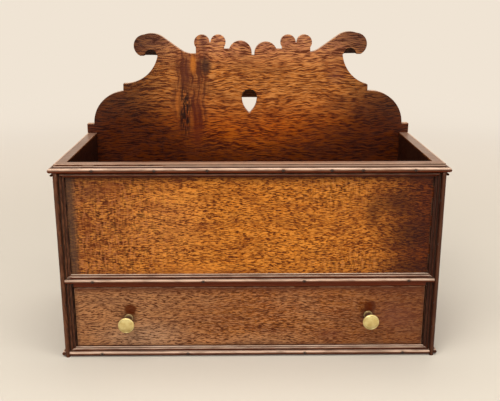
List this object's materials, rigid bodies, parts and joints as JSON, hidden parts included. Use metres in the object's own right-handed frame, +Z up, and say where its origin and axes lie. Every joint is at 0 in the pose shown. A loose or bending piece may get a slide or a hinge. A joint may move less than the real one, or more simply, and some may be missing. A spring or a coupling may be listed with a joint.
{
  "type": "candle box",
  "caption": "Wall-hanging oak candle box: open tray over a drawer with turned brass knobs, scrolled backboard with a hanging hole, beaded mouldings round the front.",
  "frame": {"origin": "middle of the bounding box on the plane that the box stands on", "axes": "+Z up, +Y towards the backboard, +X to the right of someone facing the drawer"},
  "size_m": [0.409, 0.205, 0.3361],
  "materials": {
    "back_oak": "waxed oak, old patina",
    "carcase_oak": "waxed oak, old patina",
    "front_oak": "polished figured oak",
    "moulding_oak": "dark polished oak",
    "plain_oak": "unpolished oak",
    "knob_brass": "polished, worn",
    "iron": "dark, rusted"
  },
  "bodies": {
    "carcase": {"backboard": "back_oak", "side_left": "carcase_oak", "side_right": "carcase_oak", "front_board": "front_oak", "tray_floor": "carcase_oak", "base_board": "carcase_oak", "top_moulding_front": "moulding_oak", "top_moulding_left": "moulding_oak", "top_moulding_right": "moulding_oak", "corner_moulding_left": "moulding_oak", "corner_moulding_right": "moulding_oak", "mid_moulding": "moulding_oak", "base_moulding_front": "moulding_oak", "base_moulding_left": "moulding_oak", "base_moulding_right": "moulding_oak", "back_nails": "iron", "side_nails": "iron", "top_sprigs": "iron", "corner_sprigs": "iron", "mid_sprigs": "iron", "base_sprigs": "iron"},
    "drawer": {"drawer_front": "front_oak", "drawer_side_left": "plain_oak", "drawer_side_right": "plain_oak", "drawer_back": "plain_oak", "drawer_bottom": "plain_oak", "drawer_sprigs": "iron", "knob_left": "knob_brass", "knob_right": "knob_brass", "knob_nut_left": "iron", "knob_nut_right": "iron"}
  },
  "joints": [
    {"name": "drawer_slide", "type": "slide", "parent": "carcase", "child": "drawer", "axis": [0, -1, 0], "range_m": [0, 0.13]}
  ]
}
